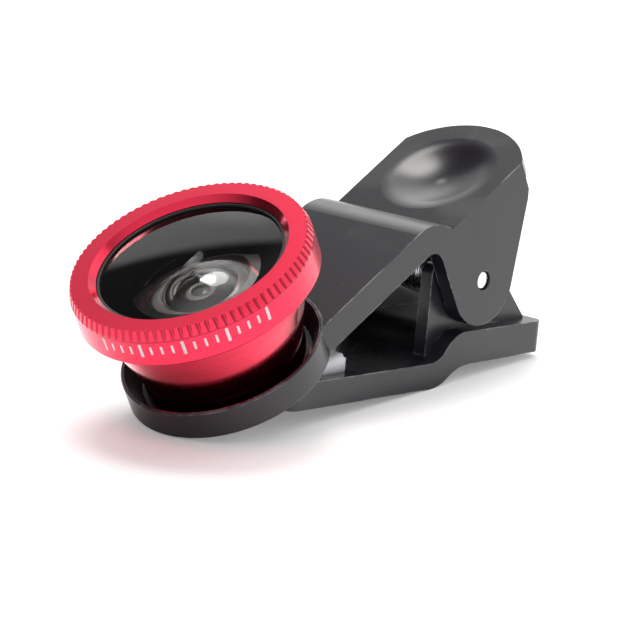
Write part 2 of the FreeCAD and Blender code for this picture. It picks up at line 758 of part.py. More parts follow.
def inner_cell():
    """Black cell that carries the middle glass on its lip."""
    return turned_piece(
        "inner_cell",
        Outline("cell_lip", "cell_seat")
        .line("cell_bore - 0.05", "cell_seat")
        .line("cell_bore - 0.05", "glass_foot")
        .line("spacer_flange + glass_play", "glass_foot")
        .line("spacer_flange + glass_play", "glass_foot - flange_height - 0.02")
        .line("middle_radius + glass_play", "glass_foot - flange_height - 0.02")
        .line("middle_radius + glass_play", "middle_foot")
        .line("cell_lip", "middle_foot"),
    )


def middle_spacer():
    """Black flanged ring that the front glass presses down on the middle one."""
    return turned_piece(
        "middle_spacer",
        Outline("spacer_inner", "middle_rim + 0.75")
        .line("middle_radius", "middle_rim + 0.02")
        .line("middle_radius", "glass_foot - flange_height")
        .line("spacer_flange", "glass_foot - flange_height")
        .line("spacer_flange", "glass_foot")
        .line("spacer_inner + 0.3", "glass_foot"),
    )


def middle_element():
    return turned_piece(
        "middle_element",
        Outline("0", "middle_hollow_crown")
        .line("0", "middle_crown")
        .dome("middle_radius", "middle_rim", -1)
        .line("middle_radius", "middle_foot")
        .line("middle_hollow", "middle_foot")
        .dome("0", "middle_hollow_crown", 1),
    )


def aperture_stop():
    """A thin black washer on top of the rear cell."""
    return turned_piece(
        "aperture_stop",
        Outline("stop_hole + 0.9", "rear_cell_top + 0.45")
        .line("stop_radius", "rear_cell_top")
        .line("stop_radius", "rear_cell_top + stop_thickness")
        .line("stop_hole + 0.9", "rear_cell_top + stop_thickness + 0.5")
        .line("stop_hole", "rear_cell_top + stop_thickness + 0.5")
        .line("stop_hole", "rear_cell_top + 0.45"),
    )


def rear_cell():
    """Black cell that screws in from behind and holds the rear pair."""
    return turned_piece(
        "rear_cell",
        Outline("rear_glass_radius + 0.6", "lens_end + 0.3")
        .line("rear_bore - 0.08", "lens_end + 0.3")
        .line("rear_bore - 0.08", "rear_cell_top")
        .line("rear_glass_radius - 0.25", "rear_cell_top")
        .line("rear_glass_radius - 0.25", "rear_glass_top + 0.25")
        .line("rear_glass_radius + 0.05", "rear_glass_top + 0.02")
        .line("rear_glass_radius + 0.05", "rear_ring_foot - 0.4"),
    )


def rear_doublet_front():
    return turned_piece(
        "rear_doublet_front",
        Outline("0", "joint_crown")
        .line("0", "rear_glass_crown")
        .dome("rear_glass_radius", "rear_glass_top", -1)
        .line("rear_glass_radius", "joint_rim")
        .dome("0", "joint_crown", -1),
    )


def rear_doublet_back():
    return turned_piece(
        "rear_doublet_back",
        Outline("0", "rear_glass_foot")
        .line("0", "joint_crown")
        .dome("rear_glass_radius", "joint_rim", 1)
        .line("rear_glass_radius", "rear_glass_foot"),
    )


def rear_retaining_ring():
    return turned_piece(
        "rear_retaining_ring",
        Outline("rear_ring_inner", "rear_ring_foot")
        .line("rear_glass_radius + 0.05 - retainer_play", "rear_ring_foot")
        .line("rear_glass_radius + 0.05 - retainer_play", "rear_glass_foot")
        .line("rear_ring_inner", "rear_glass_foot"),
    )


PIN_LAY = Placement(Vector(LOW_PIN_X, 0, LOW_PIN_Z), Rotation(Vector(1, 0, 0), 90))
spring, spring_place = torsion_spring()
PARTS = [
    (upper_arm(), UPPER),
    (ring_pad(), UPPER),
    (lower_arm(), LOWER),
    (jaw_pad(), LOWER),
    (hinge_pin(), LOWER.multiply(PIN_LAY)),
    (spring, LOWER.multiply(spring_place)),
    (lens_shell(), UPPER),
    (front_retaining_ring(), UPPER),
    (front_element(), UPPER),
    (middle_spacer(), UPPER),
    (middle_element(), UPPER),
    (inner_cell(), UPPER),
    (aperture_stop(), UPPER),
    (rear_cell(), UPPER),
    (rear_doublet_front(), UPPER),
    (rear_doublet_back(), UPPER),
    (rear_retaining_ring(), UPPER),
]
for made, place in PARTS:
    made.Placement = place
doc.recompute()

for thing in doc.Objects:
    if {"Invalid", "Error"} & set(thing.State):
        raise RuntimeError(f"{thing.Name} did not compute: {thing.State}")
for made, _ in PARTS:
    shape = made.Shape
    if shape.isNull() or not shape.isValid() or len(shape.Solids) != 1:
        raise RuntimeError(f"{made.Label} is not one valid solid: {len(shape.Solids)}")

whole = FreeCAD.BoundBox()
for made, _ in PARTS:
    whole.add(made.Shape.BoundBox)
    made.Shape.exportStep(f"parts/{made.Label}.step")
print("whole part", whole)
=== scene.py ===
import math

import bmesh
import bpy
from bpy.props import FloatProperty, FloatVectorProperty, IntProperty, PointerProperty
from mathutils import Matrix, Vector


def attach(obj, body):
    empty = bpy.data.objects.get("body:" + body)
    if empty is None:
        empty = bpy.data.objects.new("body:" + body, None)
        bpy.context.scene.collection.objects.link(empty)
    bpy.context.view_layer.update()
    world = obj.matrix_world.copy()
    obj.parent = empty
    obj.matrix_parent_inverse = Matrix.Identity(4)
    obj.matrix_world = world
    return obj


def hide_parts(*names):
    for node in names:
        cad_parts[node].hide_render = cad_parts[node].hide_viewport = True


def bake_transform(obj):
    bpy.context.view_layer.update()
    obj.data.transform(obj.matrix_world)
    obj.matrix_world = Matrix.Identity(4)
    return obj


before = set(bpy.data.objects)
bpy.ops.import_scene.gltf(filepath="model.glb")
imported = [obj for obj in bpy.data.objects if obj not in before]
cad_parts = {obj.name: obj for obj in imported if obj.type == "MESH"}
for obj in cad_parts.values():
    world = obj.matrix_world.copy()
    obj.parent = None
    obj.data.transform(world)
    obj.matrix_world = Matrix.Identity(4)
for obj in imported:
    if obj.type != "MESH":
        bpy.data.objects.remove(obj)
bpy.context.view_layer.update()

bl_info = {
    "name": "Clip On Phone Lens",
    "version": (1, 0, 0),
    "blender": (4, 5, 0),
    "location": "View3D > Sidebar > Clip Lens",
    "description": "Dresses the sprung clip and its red fisheye lens, and sets them on a pale floor",
    "category": "Object",
}

MM = 0.001

# How far the lower arm leans on the table, and the closed jaw's angle, in degrees
REST_TILT = 5.41
JAW_ANGLE = 31.23
RING_CENTRE = Matrix.Translation((-13.72 * MM, 0, 5.28 * MM))
# The upper arm's frame: x runs back to the grips and z up the lens axis, from the ring's underside
UPPER = RING_CENTRE @ Matrix.Rotation(math.radians(REST_TILT - JAW_ANGLE), 4, "Y")
# The lower arm's frame: x runs along the jaw to the grip
LOWER = RING_CENTRE @ Matrix.Rotation(math.radians(REST_TILT), 4, "Y")
# The hinge's axis in the upper arm's frame, in millimetres
PIN = Vector((34.45, 0, -9.45))

WHITE = (1, 1, 1, 1)


def color_setting(name, description, default):
    return FloatVectorProperty(
        name=name, description=description, subtype="COLOR", size=3, min=0, max=1, default=default
    )


def share_setting(name, description, default):
    return FloatProperty(name=name, description=description, min=0, max=1, default=default)


def level_setting(name, description, default):
    return FloatProperty(name=name, description=description, min=0, default=default)


def way_setting(name, description, default):
    return FloatVectorProperty(
        name=name, description=description, subtype="DIRECTION", size=3, default=default
    )


def length_setting(name, description, default, least=0.0):
    return FloatProperty(
        name=name,
        description=description,
        subtype="DISTANCE",
        unit="LENGTH",
        min=least,
        default=default,
        precision=5,
    )


class ClipLensFinish(bpy.types.PropertyGroup):
    """Colours and gloss of the clip and the lens."""

    plastic: color_setting("Clip plastic", "Colour of both arms", (0.0125, 0.0108, 0.0148))
    plastic_gloss: share_setting(
        "Plastic roughness", "Roughness of the polished black plastic", 0.24
    )
    # Colour of the light lines on the edges: partly rubbed wear, partly a painted highlight
    rubbed_highlight: color_setting(
        "Rubbed edge highlight", "Colour of the plastic where an edge is rubbed", (0.30, 0.29, 0.31)
    )
    anodised: color_setting("Anodised red", "Colour of the lens's shell", (0.84, 0.022, 0.072))
    anodised_rough: share_setting(
        "Anodised roughness", "Roughness of the turned and anodised shell", 0.34
    )
    silicone: color_setting("Silicone", "Colour of the jaw's cushion", (0.74, 0.74, 0.77))
    rubber: color_setting("Rubber", "Colour of the ring against the phone", (0.02, 0.02, 0.021))
    mark: color_setting(
        "Band marks", "Colour of the printed marks round the band", (0.86, 0.86, 0.87)
    )


class ClipLensSizes(bpy.types.PropertyGroup):
    """Sizes of the details that the finish adds."""

    edge_round: length_setting(
        "Edge rounding", "Width of the rounding along the moulded edges", 0.22 * MM
    )
    metal_edge: length_setting(
        "Metal edge", "Width of the broken edges of the turned shell", 0.05 * MM
    )
    wire: length_setting("Spring wire", "Radius of the spring's wire", 0.45 * MM, 0.1 * MM)
    coil: length_setting(
        "Spring coil", "Radius of the spring's coil, to the middle of the wire", 2.6 * MM, 1.7 * MM
    )
    mark_count: IntProperty(
        name="Band marks",
        description="Number of printed marks on the band",
        min=2,
        default=17,
    )
    mark_step: FloatProperty(
        name="Mark spacing",
        description="Angle from mark to mark round the band",
        subtype="ANGLE",
        unit="ROTATION",
        min=0,
        default=math.radians(5.1),
    )


class ClipLensStage(bpy.types.PropertyGroup):
    """The floor and the lights."""

    front_level: level_setting(
        "Front of the room", "Strength of the soft light from in front and from both sides", 0.85
    )
    gap_level: level_setting(
        "Dark gap", "Strength of the light from the dark gap behind the lens", 0.07
    )
    wall_level: level_setting("White wall", "Strength of the white wall behind the grips", 0.96)
    window_level: level_setting(
        "Window", "Strength that the window behind the grips adds to the wall", 1.5
    )
    sill_level: level_setting(
        "Foot of the wall", "Strength that the foot of the wall adds to it", 0.6
    )
    glow_level: level_setting(
        "Ceiling glow", "Strength of the soft glow on the ceiling round the softbox", 1.4
    )
    wall_way: way_setting(
        "Wall side",
        "Direction to the wall, square to the plane where it ends",
        (0.912, 0.043, -0.408),
    )
    gap_way: way_setting(
        "Gap side",
        "Direction to the dark gap between the wall and the front of the room",
        (0.574, 0.819, 0.0),
    )
    window_way: way_setting("Window side", "Direction to the window", (0.60, 0.55, 0.58))
    glow_way: way_setting("Glow side", "Direction to the ceiling glow", (0.35, 0.06, 0.935))
    softbox_way: way_setting("Softbox side", "Direction to the softbox", (0.11, 0.24, 0.965))
    softbox_distance: length_setting(
        "Softbox distance", "Distance from the clip to the softbox", 0.62
    )
    key_level: level_setting(
        "Softbox level", "Brightness of the eight sided softbox above the clip", 11.0
    )
    floor_size: length_setting("Floor", "Width of the floor", 6.0, 0.5)


class Nodes:
    """A short hand for building the nodes of a material or a group."""

    def __init__(self, tree):
        self.tree = tree

    def add(self, kind, at=(0, 0), **values):
        node = self.tree.nodes.new(kind)
        node.location = at
        for key, value in values.items():
            setattr(node, key, value)
        return node

    def join(self, source, target):
        self.tree.links.new(source, target)

    def math(self, operation, first, second=None):
        """A sum of two values. Each is a number or a socket."""
        node = self.add("ShaderNodeMath", operation=operation)
        for socket, value in zip(node.inputs, (first, second)):
            if value is None:
                continue
            if isinstance(value, (int, float)):
                socket.default_value = value
            else:
                self.join(value, socket)
        return node.outputs[0]

    def ramp(self, source, low, high, to_low=0.0, to_high=1.0, smooth=True):
        """A value that goes from to_low to to_high while the source goes from low to high."""
        node = self.add("ShaderNodeMapRange")
        node.interpolation_type = "SMOOTHSTEP" if smooth else "LINEAR"
        node.inputs["From Min"].default_value = low
        node.inputs["From Max"].default_value = high
        node.inputs["To Min"].default_value = to_low
        node.inputs["To Max"].default_value = to_high
        self.join(source, node.inputs["Value"])
        return node.outputs["Result"]

    def blend(self, mask, first, second):
        """A colour mixed from two by a mask. Each is a colour or a socket."""
        node = self.add("ShaderNodeMix", data_type="RGBA")
        self.join(mask, node.inputs[0])
        for socket, value in ((node.inputs[6], first), (node.inputs[7], second)):
            if isinstance(value, tuple):
                socket.default_value = (*value, 1.0)
            else:
                self.join(value, socket)
        return node.outputs[2]

    def mix(self, share, first, second):
        """A shader mixed from two."""
        node = self.add("ShaderNodeMixShader", (400, 0))
        for socket, source in zip(node.inputs, (share, first, second)):
            self.join(source, socket)
        return node.outputs[0]

    def bump(self, height, strength, distance):
        node = self.add("ShaderNodeBump")
        node.inputs["Strength"].default_value = strength
        node.inputs["Distance"].default_value = distance
        self.join(height, node.inputs["Height"])
        return node.outputs["Normal"]


def new_material(name):
    """A material, its nodes and its Principled shader."""
    made = bpy.data.materials.new(name)
    made.use_nodes = True
    return made, Nodes(made.node_tree), made.node_tree.nodes["Principled BSDF"]


def new_group(name, inputs, outputs):
    """An empty shader group, with float inputs given as (name, default) and float outputs."""
    tree = bpy.data.node_groups.new(name, "ShaderNodeTree")
    for label, value in inputs:
        socket = tree.interface.new_socket(label, in_out="INPUT", socket_type="NodeSocketFloat")
        socket.default_value = value
    for label in outputs:
        tree.interface.new_socket(label, in_out="OUTPUT", socket_type="NodeSocketFloat")
    n = Nodes(tree)
    return tree, n, n.add("NodeGroupInput", (-900, 0)), n.add("NodeGroupOutput", (600, 0))


def noise(n, place, scale, detail, at):
    """A noise texture in the piece's own space. The scale is a number or a socket."""
    node = n.add("ShaderNodeTexNoise", at)
    n.join(place.outputs["Object"], node.inputs["Vector"])
    node.inputs["Detail"].default_value = detail
    if isinstance(scale, float):
        node.inputs["Scale"].default_value = scale
    else:
        n.join(scale, node.inputs["Scale"])
    return node


def moulded_skin():
    """The waviness and fine grain of a moulded skin, as a height, and a mask of dull patches."""
    tree, n, into, out = new_group(
        "moulded skin",
        [("Wave Scale", 140.0), ("Grain Scale", 2600.0), ("Grain Share", 0.25)],
        ["Height", "Dull"],
    )
    place = n.add("ShaderNodeTexCoord", (-900, 300))
    wave = noise(n, place, into.outputs["Wave Scale"], 2.0, (-600, 200))
    grain = noise(n, place, into.outputs["Grain Scale"], 3.0, (-600, -100))
    fine = n.math("MULTIPLY", grain.outputs["Fac"], into.outputs["Grain Share"])
    n.join(n.math("ADD", wave.outputs["Fac"], fine), out.inputs["Height"])
    patches = noise(n, place, 90.0, 4.0, (-600, -400))
    n.join(n.ramp(patches.outputs["Fac"], 0.42, 0.68), out.inputs["Dull"])
    return tree


def fine_dust():
    """Sparse specks of dust, as a mask."""
    tree, n, into, out = new_group("fine dust", [("Scale", 900.0), ("Size", 0.10)], ["Mask"])
    place = n.add("ShaderNodeTexCoord", (-900, 300))
    specks = n.add("ShaderNodeTexVoronoi", (-600, 100))
    n.join(place.outputs["Object"], specks.inputs["Vector"])
    n.join(into.outputs["Scale"], specks.inputs["Scale"])
    near = n.math("LESS_THAN", specks.outputs["Distance"], into.outputs["Size"])
    spread = noise(n, place, 220.0, 2.0, (-600, -200))
    where = n.ramp(spread.outputs["Fac"], 0.52, 0.66)
    n.join(n.math("MULTIPLY", near, where), out.inputs["Mask"])
    return tree


def rubbed_edge_highlights():
    """Broken light lines along the moulded edges, partly rubbed wear and partly a painted highlight,
    as a mask.
    """
    tree, n, into, out = new_group(
        "rubbed edge highlights", [("Width", 0.22 * MM), ("Patch Scale", 260.0)], ["Mask"]
    )
    rounded = n.add("ShaderNodeBevel", (-700, 200), samples=6)
    n.join(into.outputs["Width"], rounded.inputs["Radius"])
    shape = n.add("ShaderNodeNewGeometry", (-700, 0))
    turned = n.add("ShaderNodeVectorMath", (-500, 100), operation="DOT_PRODUCT")
    n.join(rounded.outputs["Normal"], turned.inputs[0])
    n.join(shape.outputs["True Normal"], turned.inputs[1])
    edge = n.ramp(turned.outputs["Value"], 0.978, 0.93)
    place = n.add("ShaderNodeTexCoord", (-900, -200))
    patches = noise(n, place, into.outputs["Patch Scale"], 5.0, (-700, -200))
    patches.inputs["Roughness"].default_value = 0.7
    where = n.ramp(patches.outputs["Fac"], 0.46, 0.60)
    n.join(n.math("MULTIPLY", edge, where), out.inputs["Mask"])
    return tree


# How far the barrel's radius grows along its height, which spaces the turning lines on it
BARREL_SLOPE = 0.83
BROAD_LINES_PER_METRE = 1400.0
# The heights between which the painted shade under the barrel ends, and the bevelled bore's edge
UNDERCUT_END = (3.42 * MM, 3.52 * MM)
BORE_EDGE = 11.80 * MM


def lathe_lines():
    """Fine lines left by turning about the lens axis, with masks of the shell's features and of the
    painted shade under the barrel.
    """
    tree, n, into, out = new_group(
        "lathe lines",
        [("Lines Per Metre", 9000.0), ("Unevenness", 0.6)],
        ["Height", "Tone", "Flutes", "Undercut Shade", "Bevel"],
    )
    place = n.add("ShaderNodeTexCoord", (-1500, 200))
    back = n.add("ShaderNodeMapping", (-1300, 200), vector_type="POINT")
    inverse = UPPER.inverted()
    back.inputs["Location"].default_value = inverse.to_translation()
    back.inputs["Rotation"].default_value = inverse.to_euler()
    n.join(place.outputs["Object"], back.inputs["Vector"])
    parts = n.add("ShaderNodeSeparateXYZ", (-1100, 200))
    n.join(back.outputs["Vector"], parts.inputs[0])
    x, y, height = (parts.outputs[axis] for axis in "XYZ")
    squares = n.math("ADD", n.math("MULTIPLY", x, x), n.math("MULTIPLY", y, y))
    radius = n.math("SQRT", squares)
    along = n.math("ADD", radius, n.math("MULTIPLY", height, BARREL_SLOPE))
    spread = n.add("ShaderNodeTexNoise", (-500, 200), noise_dimensions="1D")
    n.join(n.math("MULTIPLY", along, into.outputs["Lines Per Metre"]), spread.inputs["W"])
    spread.inputs["Scale"].default_value = 1.0
    spread.inputs["Detail"].default_value = 3.0
    n.join(into.outputs["Unevenness"], spread.inputs["Roughness"])
    n.join(spread.outputs["Fac"], out.inputs["Height"])
    broad = n.add("ShaderNodeTexNoise", (-500, -200), noise_dimensions="1D")
    n.join(n.math("MULTIPLY", along, BROAD_LINES_PER_METRE), broad.inputs["W"])
    broad.inputs["Scale"].default_value = 1.0
    n.join(broad.outputs["Fac"], out.inputs["Tone"])
    n.join(flute_mask(n, radius, height), out.inputs["Flutes"])
    # A mask for the painted shade under the barrel, fading out above the undercut
    n.join(n.ramp(height, *UNDERCUT_END, 1.0, 0.0), out.inputs["Undercut Shade"])
    n.join(n.math("LESS_THAN", radius, BORE_EDGE), out.inputs["Bevel"])
    return tree


# The flutes lie between these heights and outside this radius. The lands between them
# follow a cone, given by its radius at one height and its slope.
FLUTE_FOOT = 15.55 * MM
FLUTE_TOP = 16.93 * MM
FLUTE_INSIDE = 13.7 * MM
LAND_HEIGHT = 15.88 * MM
LAND_RADIUS = 14.375 * MM
LAND_SLOPE = 0.367


def flute_mask(n, radius, height):
    """One inside the flutes round the lens's front edge, below the lands between them."""
    lean = n.math("MULTIPLY", n.math("SUBTRACT", height, LAND_HEIGHT), LAND_SLOPE)
    sunk = n.math("LESS_THAN", n.math("ADD", radius, lean), LAND_RADIUS)
    under = n.math("LESS_THAN", height, FLUTE_TOP)
    above = n.math("GREATER_THAN", height, FLUTE_FOOT)
    outside = n.math("GREATER_THAN", radius, FLUTE_INSIDE)
    return n.math("MULTIPLY", n.math("MULTIPLY", sunk, under), n.math("MULTIPLY", above, outside))


def use_group(n, builder, name, **values):
    """That group, built the first time it is asked for, with its inputs' values."""
    node = n.add("ShaderNodeGroup")
    node.node_tree = bpy.data.node_groups.get(name) or builder()
    for label, value in values.items():
        node.inputs[label.replace("_", " ")].default_value = value
    return node


def use_skin(n, wave, grain, share):
    return use_group(
        n, moulded_skin, "moulded skin", Wave_Scale=wave, Grain_Scale=grain, Grain_Share=share
    )


def dimmed(color, share):
    """A colour with each of its parts scaled."""
    return tuple(c * share for c in color)


def polished_plastic(finish):
    """Black plastic from a polished mould: gloss over a slight waviness, with light lines on the
    edges that are partly rubbed wear and partly a painted highlight.
    """
    made, n, shader = new_material("polished black plastic")
    skin = use_skin(n, 160.0, 4200.0, 0.35)
    dust = use_group(n, fine_dust, "fine dust")
    rubbed_highlight = use_group(n, rubbed_edge_highlights, "rubbed edge highlights")
    base = tuple(finish.plastic)
    specks = tuple(min(1.0, c * 4 + 0.01) for c in base)
    dusty = n.blend(dust.outputs["Mask"], base, specks)
    # Light lines on the edges: partly rubbed wear, partly a painted highlight
    worn_and_highlit = n.blend(rubbed_highlight.outputs["Mask"], dusty, tuple(finish.rubbed_highlight))
    n.join(worn_and_highlit, shader.inputs["Base Color"])
    rough = n.ramp(skin.outputs["Dull"], 0, 1, finish.plastic_gloss, finish.plastic_gloss + 0.09)
    n.join(rough, shader.inputs["Roughness"])
    shader.inputs["IOR"].default_value = 1.52
    n.join(n.bump(skin.outputs["Height"], 0.22, 0.04 * MM), shader.inputs["Normal"])
    return made


def red_anodised(finish):
    """Turned aluminium under a clear red skin, cut smoother in the flutes and the bore's bevel, with
    painted shade in the flutes and under the barrel.
    """
    made, n, shader = new_material("red anodised aluminium")
    lines = use_group(n, lathe_lines, "lathe lines")
    base = tuple(finish.anodised)
    skin = n.blend(lines.outputs["Tone"], dimmed(base, 0.92), base)
    # Painted shade: the base colour in the flutes is halved, darkening the grooves
    skin = n.blend(lines.outputs["Flutes"], skin, dimmed(base, 0.5))
    # Painted shade: the red below the undercut is darkened to a quarter
    skin = n.blend(lines.outputs["Undercut Shade"], skin, dimmed(base, 0.25))
    n.join(skin, shader.inputs["Base Color"])
    shader.inputs["Metallic"].default_value = 1.0
    shader.inputs["Coat Weight"].default_value = 0.5
    shader.inputs["Coat Roughness"].default_value = 0.14
    shader.inputs["Coat IOR"].default_value = 1.45
    low = finish.anodised_rough - 0.03
    turned = n.ramp(lines.outputs["Height"], 0.3, 0.7, low, low + 0.06, smooth=False)
    smoother = n.math("MAXIMUM", lines.outputs["Flutes"], lines.outputs["Bevel"])
    rough = n.math("SUBTRACT", turned, n.math("MULTIPLY", smoother, 0.2))
    n.join(rough, shader.inputs["Roughness"])
    n.join(n.bump(lines.outputs["Height"], 0.10, 0.02 * MM), shader.inputs["Normal"])
    return made


def black_anodised():
    """Satin black skin of the rings and cells inside the lens."""
    made, n, shader = new_material("black anodised aluminium")
    lines = use_group(n, lathe_lines, "lathe lines", Lines_Per_Metre=5000.0)
    skin = n.blend(lines.outputs["Tone"], (0.006, 0.006, 0.0065), (0.014, 0.014, 0.015))
    n.join(skin, shader.inputs["Base Color"])
    n.join(n.ramp(lines.outputs["Height"], 0.3, 0.7, 0.34, 0.46), shader.inputs["Roughness"])
    n.join(n.bump(lines.outputs["Height"], 0.2, 0.03 * MM), shader.inputs["Normal"])
    return made


def black_lacquer():
    """Matt black lacquer on the ground edges of the front glass."""
    made, n, shader = new_material("black lacquer")
    skin = use_skin(n, 400.0, 4000.0, 0.5)
    coat = n.blend(skin.outputs["Dull"], (0.0015, 0.0015, 0.0016), (0.003, 0.003, 0.0032))
    n.join(coat, shader.inputs["Base Color"])
    n.join(n.ramp(skin.outputs["Dull"], 0, 1, 0.5, 0.6), shader.inputs["Roughness"])
    shader.inputs["Specular IOR Level"].default_value = 0.0
    return made


def satin_collar():
    """Bare satin metal of the collars inside the lens, warm grey and clouded."""
    made, n, shader = new_material("satin collar")
    skin = use_skin(n, 520.0, 3600.0, 0.4)
    lines = use_group(n, lathe_lines, "lathe lines", Lines_Per_Metre=7000.0)
    warm = n.blend(skin.outputs["Dull"], (0.92, 0.85, 0.82), (0.66, 0.59, 0.57))
    turned = n.blend(lines.outputs["Tone"], warm, (0.78, 0.72, 0.70))
    n.join(turned, shader.inputs["Base Color"])
    shader.inputs["Metallic"].default_value = 0.3
    n.join(n.ramp(skin.outputs["Dull"], 0, 1, 0.36, 0.55), shader.inputs["Roughness"])
    n.join(n.bump(lines.outputs["Height"], 0.3, 0.03 * MM), shader.inputs["Normal"])
    return made


def polished_glass(name, tint, ior):
    """Clear glass, polished."""
    made, _, shader = new_material(name)
    shader.inputs["Base Color"].default_value = (*tint, 1.0)
    shader.inputs["Transmission Weight"].default_value = 1.0
    shader.inputs["Roughness"].default_value = 0.0
    shader.inputs["IOR"].default_value = ior
    return made


def pale_silicone(finish):
    """Soft milky silicone with a faint bloom of dust."""
    made, n, shader = new_material("pale silicone")
    skin = use_skin(n, 300.0, 2200.0, 0.6)
    base = tuple(finish.silicone)
    n.join(n.blend(skin.outputs["Dull"], base, dimmed(base, 0.93)), shader.inputs["Base Color"])
    n.join(n.ramp(skin.outputs["Dull"], 0, 1, 0.34, 0.48), shader.inputs["Roughness"])
    shader.inputs["Subsurface Weight"].default_value = 0.35
    shader.inputs["Subsurface Radius"].default_value = (1.2 * MM, 1.2 * MM, 1.2 * MM)
    shader.inputs["IOR"].default_value = 1.42
    n.join(n.bump(skin.outputs["Height"], 0.25, 0.05 * MM), shader.inputs["Normal"])
    return made


def matt_rubber(finish):
    """Matt black rubber with a coarse skin and some dust."""
    made, n, shader = new_material("matt black rubber")
    skin = use_skin(n, 500.0, 3000.0, 0.8)
    dust = use_group(n, fine_dust, "fine dust", Scale=1400.0, Size=0.16)
    base = tuple(finish.rubber)
    n.join(n.blend(dust.outputs["Mask"], base, dimmed(base, 3)), shader.inputs["Base Color"])
    n.join(n.ramp(skin.outputs["Dull"], 0, 1, 0.62, 0.74), shader.inputs["Roughness"])
    n.join(n.bump(skin.outputs["Height"], 0.5, 0.06 * MM), shader.inputs["Normal"])
    return made


def bare_steel(name, color, low, high):
    """Drawn or turned steel, with a roughness that varies from low to high along it."""
    made, n, shader = new_material(name)
    skin = use_skin(n, 900.0, 5200.0, 0.7)
    n.join(n.blend(skin.outputs["Dull"], color, dimmed(color, 0.8)), shader.inputs["Base Color"])
    shader.inputs["Metallic"].default_value = 1.0
    n.join(n.ramp(skin.outputs["Dull"], 0, 1, low, high), shader.inputs["Roughness"])
    n.join(n.bump(skin.outputs["Height"], 0.2, 0.02 * MM), shader.inputs["Normal"])
    return made


def print_ink(finish):
    """White print on the band, slightly uneven where the ink is thin."""
    made, n, shader = new_material("white print")
    skin = use_skin(n, 1500.0, 6000.0, 0.5)
    base = tuple(finish.mark)
    n.join(n.blend(skin.outputs["Dull"], base, dimmed(base, 0.86)), shader.inputs["Base Color"])
    shader.inputs["Roughness"].default_value = 0.45
    return made


def add_mesh(name, mesh, place=None):
    """A new object of that mesh, moved into the row frame, with smooth faces."""
    if place is not None:
        mesh.transform(place)
    mesh.update()
    thing = bpy.data.objects.new(name, mesh)
    bpy.context.scene.collection.objects.link(thing)
    for face in mesh.polygons:
        face.use_smooth = True
    return thing


def lathe(name, profile, place, steps=192):
    """A ring turned about z from a closed profile of (radius, height) in millimetres."""
    mesh = bpy.data.meshes.new(name)
    tool = bmesh.new()
    rings = []
    for step in range(steps):
        angle = 2 * math.pi * step / steps
        c, s = math.cos(angle), math.sin(angle)
        rings.append([tool.verts.new((r * c * MM, r * s * MM, z * MM)) for r, z in profile])
    count = len(profile)
    for step in range(steps):
        one, two = rings[step], rings[(step + 1) % steps]
        for k in range(count):
            after = (k + 1) % count
            tool.faces.new((one[k], two[k], two[after], one[after]))
    bmesh.ops.remove_doubles(tool, verts=tool.verts, dist=1e-8)
    bmesh.ops.recalc_face_normals(tool, faces=tool.faces)
    tool.to_mesh(mesh)
    tool.free()
    return add_mesh(name, mesh, place)


def rounded_section(low, high, corner, steps=5):
    """The points of a rectangle with rounded corners, from its low and high corner."""
    points = []
    for cx, cy, start in (
        (high[0] - corner, high[1] - corner, 0),
        (low[0] + corner, high[1] - corner, 90),
        (low[0] + corner, low[1] + corner, 180),
        (high[0] - corner, low[1] + corner, 270),
    ):
        for step in range(steps + 1):
            angle = math.radians(start + 90 * step / steps)
            points.append((cx + corner * math.cos(angle), cy + corner * math.sin(angle)))
    return points


# The angles of the rings that close a wire's domed end, from the tip
DOME_ANGLES = (80, 60, 40, 20)


def tube(name, path, radius, sides=16):
    """A round wire along a path of points, with domed ends."""
    rings = []
    normal = None
    for index, point in enumerate(path):
        before = path[max(index - 1, 0)]
        after = path[min(index + 1, len(path) - 1)]
        way = (after - before).normalized()
        if normal is None:
            normal = way.orthogonal().normalized()
        normal = (normal - way * normal.dot(way)).normalized()
        rings.append((point, way, normal.copy(), radius))
    start = dome(rings[0], -radius, DOME_ANGLES)
    end = dome(rings[-1], radius, reversed(DOME_ANGLES))
    mesh = bpy.data.meshes.new(name)
    tool = bmesh.new()
    loops = []
    for point, way, up, reach in start + rings + end:
        side = way.cross(up)
        loop = []
        for k in range(sides):
            angle = 2 * math.pi * k / sides
            turned = up * math.cos(angle) + side * math.sin(angle)
            loop.append(tool.verts.new(point + turned * reach))
        loops.append(loop)
    for one, two in zip(loops, loops[1:]):
        for k in range(sides):
            after = (k + 1) % sides
            tool.faces.new((one[k], one[after], two[after], two[k]))
    tool.faces.new(list(reversed(loops[0])))
    tool.faces.new(loops[-1])
    bmesh.ops.recalc_face_normals(tool, faces=tool.faces)
    tool.to_mesh(mesh)
    tool.free()
    return add_mesh(name, mesh)


def dome(ring, bulge, angles):
    """The rings past a wire's end. The bulge is the wire's radius, negative at its start."""
    point, way, up, radius = ring
    made = []
    for angle in angles:
        c, s = math.cos(math.radians(angle)), math.sin(math.radians(angle))
        made.append((point + way * bulge * s, way, up, radius * c))
    return made


def paint(thing, material):
    """Gives every slot of a piece that material."""
    if not thing.material_slots:
        thing.data.materials.append(material)
    for slot in thing.material_slots:
        slot.material = material


def soften(thing, width, angle=28.0, segments=3):
    """Rounds a moulded or turned piece's sharp edges."""
    bevel = thing.modifiers.new("edges", "BEVEL")
    bevel.width = width
    bevel.segments = segments
    bevel.limit_method = "ANGLE"
    bevel.angle_limit = math.radians(angle)
    bevel.harden_normals = True
    bevel.miter_outer = "MITER_ARC"


def settings():
    """The values that the pieces read."""
    return bpy.context.scene.clip_lens_finish, bpy.context.scene.clip_lens_sizes


